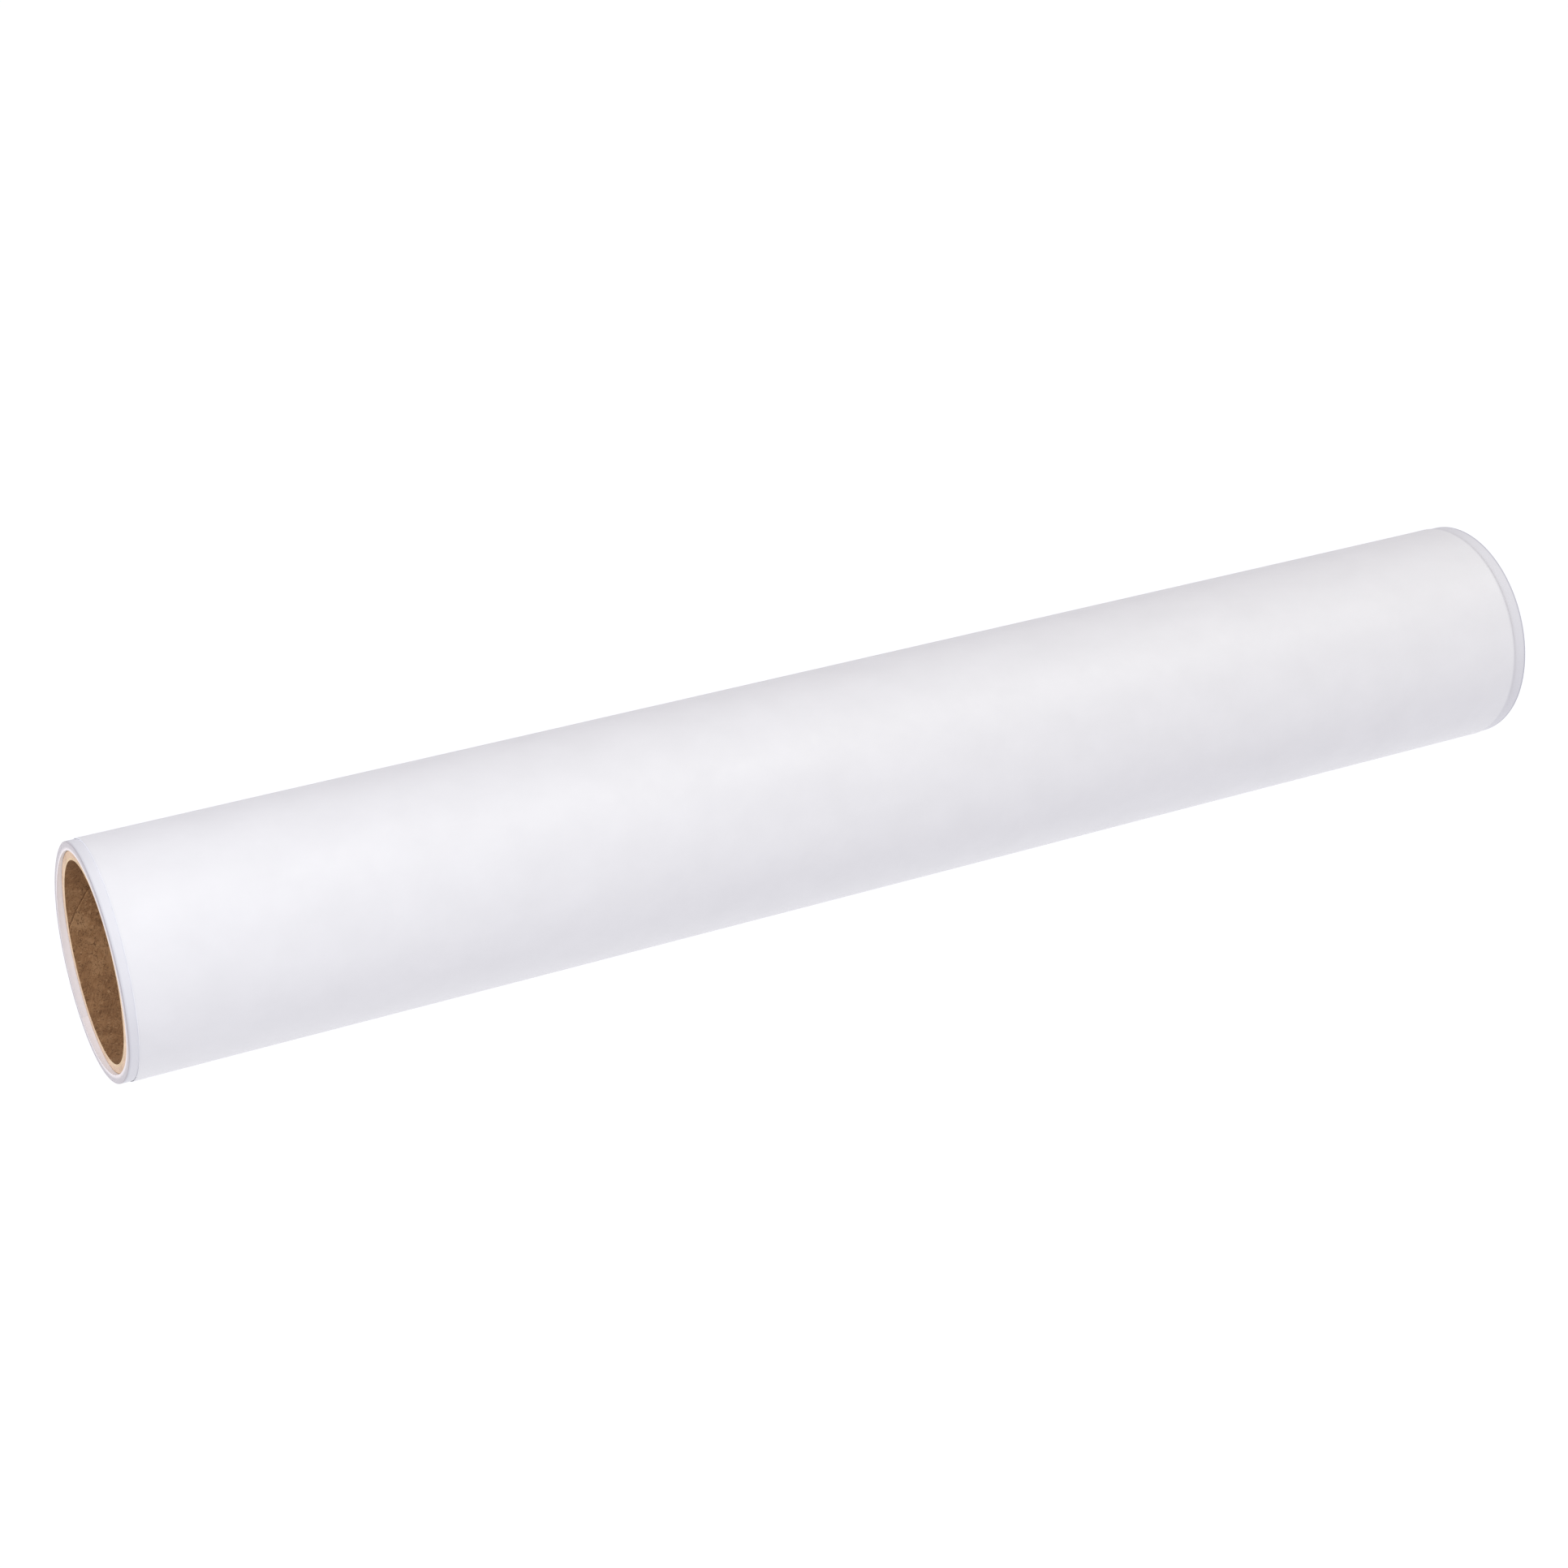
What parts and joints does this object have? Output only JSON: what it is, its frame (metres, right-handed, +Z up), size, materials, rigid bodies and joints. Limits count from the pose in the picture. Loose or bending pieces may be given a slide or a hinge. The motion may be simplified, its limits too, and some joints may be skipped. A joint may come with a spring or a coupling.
{
  "type": "backdrop paper roll",
  "caption": "Roll of white seamless backdrop paper wound on an open spiral-wound cardboard core, with an outer sheet whose free end unrolls from the back.",
  "frame": {"origin": "on the core's axis at mid-length", "axes": "+X along the roll towards its right end, the open end at -X is the one seen from the front left, +Y towards the back where the leader hangs, +Z up"},
  "size_m": [0.61, 0.0918, 0.0918],
  "materials": {
    "bore_kraft": "matt brown kraft",
    "core_board": "matt grey-brown board",
    "core_liner": "matt tan board",
    "tape": "double-sided tissue tape",
    "backdrop_paper": "matt white paper",
    "outer_paper": "soft satin white paper"
  },
  "bodies": {
    "roll": {"core_inner_liner": "bore_kraft", "core_board_ply_1": "core_board", "core_board_ply_2": "core_board", "core_board_ply_3": "core_board", "core_board_ply_4": "core_board", "core_board_ply_5": "core_board", "core_outer_liner": "core_liner", "starter_tape": "tape", "paper_windings": "backdrop_paper", "outer_sheet": "outer_paper"},
    "leader_1": {"leader_panel_1": "outer_paper"},
    "leader_2": {"leader_panel_2": "outer_paper"},
    "leader_3": {"leader_panel_3": "outer_paper"},
    "leader_4": {"leader_panel_4": "outer_paper"}
  },
  "joints": [
    {"name": "leader_unroll_1", "type": "hinge", "parent": "roll", "child": "leader_1", "pos_m": [0, 0.0459, 0], "axis": [1, 0, 0], "range_deg": [0, 24], "stiffness_Nm_per_rad": 0.01, "springref_deg": -14.9},
    {"name": "leader_unroll_2", "type": "hinge", "parent": "leader_1", "child": "leader_2", "pos_m": [0, 0.04193, -0.01867], "axis": [1, 0, 0], "range_deg": [0, 24], "stiffness_Nm_per_rad": 0.01, "springref_deg": -14.9},
    {"name": "leader_unroll_3", "type": "hinge", "parent": "leader_2", "child": "leader_3", "pos_m": [0, 0.03071, -0.03411], "axis": [1, 0, 0], "range_deg": [0, 24], "stiffness_Nm_per_rad": 0.01, "springref_deg": -14.9},
    {"name": "leader_unroll_4", "type": "hinge", "parent": "leader_3", "child": "leader_4", "pos_m": [0, 0.01418, -0.04365], "axis": [1, 0, 0], "range_deg": [0, 24], "stiffness_Nm_per_rad": 0.01, "springref_deg": -14.9}
  ],
  "couplings": [
    {"joint": "leader_unroll_2", "follows": "leader_unroll_1", "ratio": 1},
    {"joint": "leader_unroll_3", "follows": "leader_unroll_1", "ratio": 1},
    {"joint": "leader_unroll_4", "follows": "leader_unroll_1", "ratio": 1}
  ]
}
